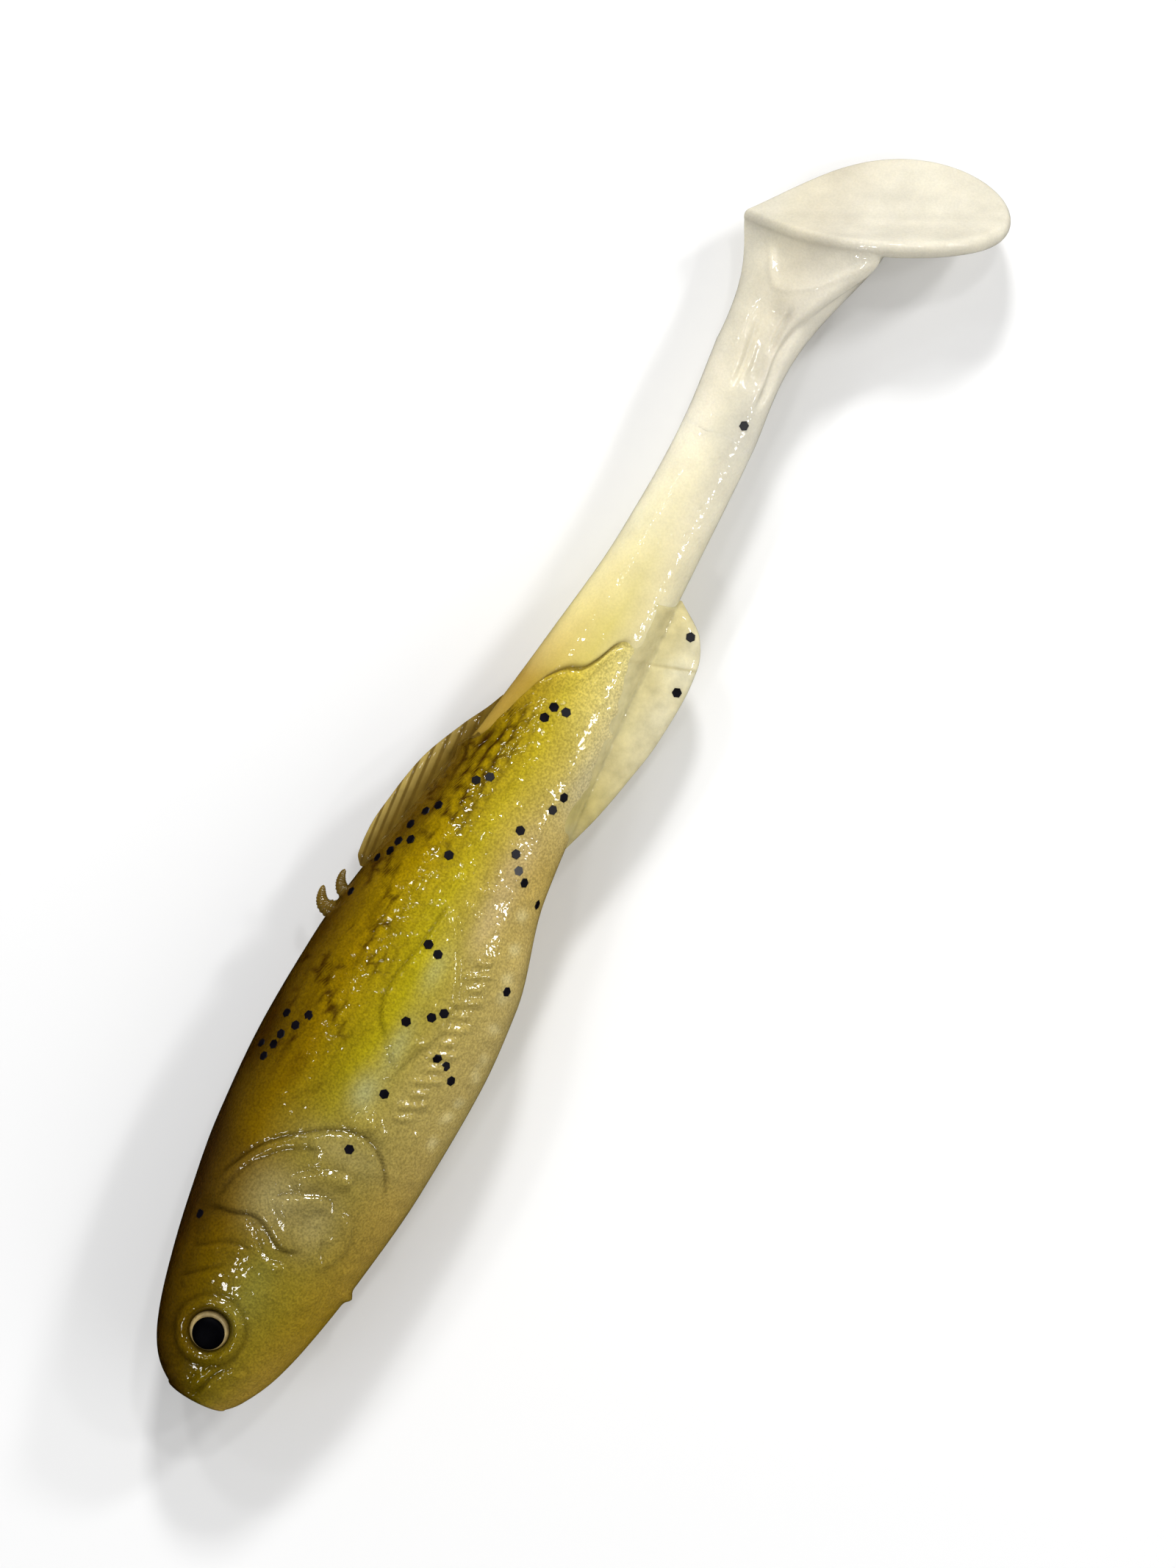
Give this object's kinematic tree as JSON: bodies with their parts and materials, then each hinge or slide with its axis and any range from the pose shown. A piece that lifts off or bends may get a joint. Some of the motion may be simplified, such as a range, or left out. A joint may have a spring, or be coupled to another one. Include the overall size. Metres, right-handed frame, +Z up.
{
  "type": "soft swimbait",
  "caption": "Soft plastic shad swimbait, 120 mm long, with a two-colour poured body, dorsal and anal fins, black hexagonal glitter and a boot paddle tail, lying on its right flank.",
  "frame": {"origin": "middle of the lure's outline on the table that it lies on", "axes": "+X from the nose to the tail, +Y from the belly to the back, +Z up through the left flank"},
  "size_m": [0.12, 0.0252, 0.0145],
  "materials": {
    "back_pour": "glossy translucent olive gold",
    "belly_pour": "glossy translucent pearl",
    "tail_pour": "glossy translucent cream pearl",
    "fin_tint": "glossy translucent brown olive",
    "glitter": "glossy black film",
    "iris": "pearl gold paint",
    "pupil": "glossy black paint"
  },
  "bodies": {
    "front": {"front_back_pour": "back_pour", "front_belly_pour": "belly_pour", "dorsal_spine_front": "fin_tint", "dorsal_spine_rear": "fin_tint", "left_eye_iris": "iris", "left_eye_pupil": "pupil", "right_eye_iris": "iris", "right_eye_pupil": "pupil", "front_flake_01": "glitter", "front_flake_02": "glitter", "front_flake_03": "glitter", "front_flake_04": "glitter", "front_flake_05": "glitter", "front_flake_06": "glitter", "front_flake_07": "glitter", "front_flake_08": "glitter", "front_flake_09": "glitter", "front_flake_10": "glitter", "front_flake_11": "glitter", "front_flake_12": "glitter", "front_flake_13": "glitter", "front_flake_14": "glitter", "front_flake_15": "glitter", "front_flake_16": "glitter", "front_flake_17": "glitter", "front_flake_18": "glitter", "front_flake_19": "glitter", "front_flake_20": "glitter"},
    "rear": {"rear_back_pour": "back_pour", "rear_belly_pour": "belly_pour", "rear_flake_01": "glitter", "rear_flake_02": "glitter", "rear_flake_03": "glitter", "rear_flake_04": "glitter", "rear_flake_05": "glitter", "rear_flake_06": "glitter", "rear_flake_07": "glitter", "rear_flake_08": "glitter", "rear_flake_09": "glitter", "rear_flake_10": "glitter", "rear_flake_11": "glitter", "rear_flake_12": "glitter", "rear_flake_13": "glitter", "rear_flake_14": "glitter", "rear_flake_15": "glitter", "rear_flake_16": "glitter", "rear_flake_17": "glitter", "rear_flake_18": "glitter", "rear_flake_19": "glitter", "rear_flake_20": "glitter"},
    "stem": {"tail_stem": "tail_pour", "stem_flake_01": "glitter"},
    "paddle": {"paddle": "tail_pour"},
    "dorsal_fin": {"dorsal_fin": "fin_tint"},
    "anal_fin": {"anal_fin": "tail_pour", "anal_fin_flake_01": "glitter", "anal_fin_flake_02": "glitter"}
  },
  "joints": [
    {"name": "body_flex", "type": "hinge", "parent": "front", "child": "rear", "pos_m": [-0.015, 0.00225, 0.00715], "axis": [0, 1, 0], "range_deg": [-12, 12], "stiffness_Nm_per_rad": 0.02},
    {"name": "stem_flex", "type": "hinge", "parent": "rear", "child": "stem", "pos_m": [0.019, 0.00225, 0.00634], "axis": [0, 1, 0], "range_deg": [-35, 35], "stiffness_Nm_per_rad": 0.005},
    {"name": "paddle_kick", "type": "hinge", "parent": "stem", "child": "paddle", "pos_m": [0.038, 0.00225, 0.006], "axis": [0, 1, 0], "range_deg": [-30, 60], "stiffness_Nm_per_rad": 0.002},
    {"name": "dorsal_fin_fold", "type": "hinge", "parent": "rear", "child": "dorsal_fin", "pos_m": [-0.00535, 0.00866, 0.00714], "axis": [0.9801, -0.198, -0.0116], "range_deg": [-20, 20], "stiffness_Nm_per_rad": 0.00001},
    {"name": "anal_fin_fold", "type": "hinge", "parent": "rear", "child": "anal_fin", "pos_m": [0.0063, -0.00332, 0.00684], "axis": [0.9978, 0.0572, -0.033], "range_deg": [-20, 20], "stiffness_Nm_per_rad": 0.00001}
  ]
}
